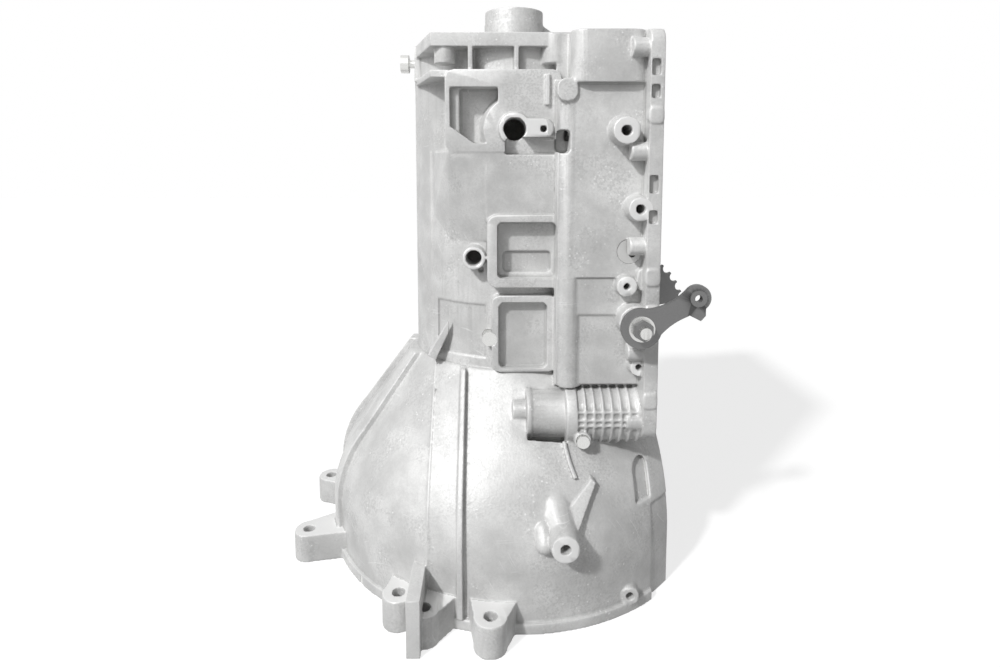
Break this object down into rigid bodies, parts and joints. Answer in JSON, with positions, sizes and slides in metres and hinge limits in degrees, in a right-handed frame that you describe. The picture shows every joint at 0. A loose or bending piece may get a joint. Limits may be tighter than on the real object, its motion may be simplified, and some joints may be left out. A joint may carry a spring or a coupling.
{
  "type": "automatic gearbox housing",
  "caption": "One-piece cast aluminium automatic gearbox case with bell housing, open pan side, shift lever, toothed detent plate and parking lock.",
  "frame": {"origin": "main axis in the bell face", "axes": "+Z along the main axis to the rear, +X towards the oil pan, -Y towards the shift lever"},
  "size_m": [0.3848, 0.4398, 0.546],
  "materials": {
    "cast_aluminium": "as cast, sandy",
    "cast_aluminium_plug": "turned",
    "dark_steel": "dull, phosphated",
    "plain_steel": "plain machined",
    "spring_steel": "blued spring steel",
    "bronze": "plain bearing bronze",
    "seal_rubber": "matt"
  },
  "bodies": {
    "case": {"gearbox_case": "cast_aluminium", "shaft_seal": "seal_rubber", "shaft_lock_pin": "spring_steel", "detent_spring": "spring_steel", "detent_spring_bolt": "plain_steel", "pawl_pin": "plain_steel", "pawl_spring": "spring_steel", "park_guide": "dark_steel", "guide_bolts": "plain_steel", "flush_plug": "cast_aluminium_plug", "servo_plug": "plain_steel", "band_anchor_pin": "plain_steel", "vent_neck": "plain_steel", "vent_cap": "plain_steel", "rear_bushing": "bronze", "dowel_sleeves": "plain_steel"},
    "selector": {"manual_shaft": "plain_steel", "manual_lever": "dark_steel", "lever_washer": "plain_steel", "lever_nut": "plain_steel", "detent_plate": "dark_steel", "detent_nut": "plain_steel"},
    "park_link": {"park_rod": "dark_steel", "park_cam": "dark_steel"},
    "pawl": {"park_pawl": "dark_steel"},
    "roller": {"detent_roller": "plain_steel"}
  },
  "joints": [
    {"name": "selector_turn", "type": "hinge", "parent": "case", "child": "selector", "pos_m": [0.1019, -0.16, 0.2514], "axis": [0, -1, 0], "range_deg": [0, 52]},
    {"name": "park_rod_slide", "type": "slide", "parent": "case", "child": "park_link", "axis": [0, 0, -1], "range_m": [0, 0.02321]},
    {"name": "pawl_swing", "type": "hinge", "parent": "case", "child": "pawl", "pos_m": [0.051, -0.102, 0.424], "axis": [0, 0, -1], "range_deg": [0, 8.05]},
    {"name": "roller_spin", "type": "hinge", "parent": "case", "child": "roller", "pos_m": [0.12604, -0.098, 0.30666], "axis": [0, 1, 0], "continuous": true}
  ],
  "couplings": [
    {"joint": "park_rod_slide", "follows": "selector_turn", "m_per_rad": 0.025351},
    {"joint": "pawl_swing", "follows": "selector_turn", "ratio": 0.15385}
  ]
}
